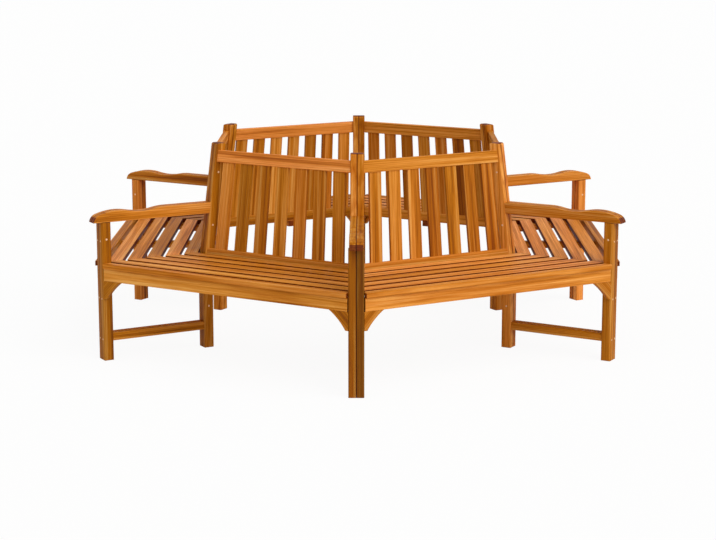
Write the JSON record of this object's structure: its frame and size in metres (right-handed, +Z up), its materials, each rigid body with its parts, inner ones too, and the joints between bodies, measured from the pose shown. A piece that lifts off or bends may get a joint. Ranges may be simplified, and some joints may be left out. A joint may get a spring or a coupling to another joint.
{
  "type": "tree bench",
  "caption": "Hexagonal wooden seat that rings a tree trunk, with slatted seats, slatted backrests and arm rests at every corner",
  "frame": {"origin": "middle of the hexagon on the floor, under the middle of the open space for the trunk", "axes": "+Z up; -Y towards the corner that faces the viewer; +X to the viewer's right, square to a side"},
  "size_m": [2.2818, 2.6052, 0.905],
  "materials": {
    "oiled_hardwood": "oiled and sanded, satin",
    "pale_plug_wood": "sanded flush",
    "dowel_wood": "plain",
    "fastener_steel": "zinc plated"
  },
  "bodies": {
    "root": {"arm_dowels": "dowel_wood", "back_corner_arms": "oiled_hardwood", "back_corner_outer_legs": "oiled_hardwood", "back_corner_posts": "oiled_hardwood", "back_left_side_apron": "oiled_hardwood", "back_left_side_back_slats": "oiled_hardwood", "back_left_side_lower_rail": "oiled_hardwood", "back_left_side_seat_slats": "oiled_hardwood", "back_left_side_top_rail": "oiled_hardwood", "back_rail_dowels": "dowel_wood", "back_right_side_apron": "oiled_hardwood", "back_right_side_back_slats": "oiled_hardwood", "back_right_side_lower_rail": "oiled_hardwood", "back_right_side_seat_slats": "oiled_hardwood", "back_right_side_top_rail": "oiled_hardwood", "bolt_plugs": "pale_plug_wood", "frame_bolts": "fastener_steel", "frame_dowels": "dowel_wood", "frame_nuts": "fastener_steel", "front_corner_arms": "oiled_hardwood", "front_corner_outer_legs": "oiled_hardwood", "front_corner_posts": "oiled_hardwood", "front_left_side_apron": "oiled_hardwood", "front_left_side_back_slats": "oiled_hardwood", "front_left_side_lower_rail": "oiled_hardwood", "front_left_side_seat_slats": "oiled_hardwood", "front_left_side_top_rail": "oiled_hardwood", "front_right_side_apron": "oiled_hardwood", "front_right_side_back_slats": "oiled_hardwood", "front_right_side_lower_rail": "oiled_hardwood", "front_right_side_seat_slats": "oiled_hardwood", "front_right_side_top_rail": "oiled_hardwood", "knee_brackets": "oiled_hardwood", "left_back_corner_arms": "oiled_hardwood", "left_back_corner_outer_legs": "oiled_hardwood", "left_back_corner_posts": "oiled_hardwood", "left_front_corner_arms": "oiled_hardwood", "left_front_corner_outer_legs": "oiled_hardwood", "left_front_corner_posts": "oiled_hardwood", "left_side_apron": "oiled_hardwood", "left_side_back_slats": "oiled_hardwood", "left_side_lower_rail": "oiled_hardwood", "left_side_seat_slats": "oiled_hardwood", "left_side_top_rail": "oiled_hardwood", "leg_end_plugs": "pale_plug_wood", "right_back_corner_arms": "oiled_hardwood", "right_back_corner_outer_legs": "oiled_hardwood", "right_back_corner_posts": "oiled_hardwood", "right_front_corner_arms": "oiled_hardwood", "right_front_corner_outer_legs": "oiled_hardwood", "right_front_corner_posts": "oiled_hardwood", "right_side_apron": "oiled_hardwood", "right_side_back_slats": "oiled_hardwood", "right_side_lower_rail": "oiled_hardwood", "right_side_seat_slats": "oiled_hardwood", "right_side_top_rail": "oiled_hardwood", "seat_battens": "oiled_hardwood", "seat_rails": "oiled_hardwood", "slat_screws": "fastener_steel", "stretchers": "oiled_hardwood"}
  },
  "joints": []
}
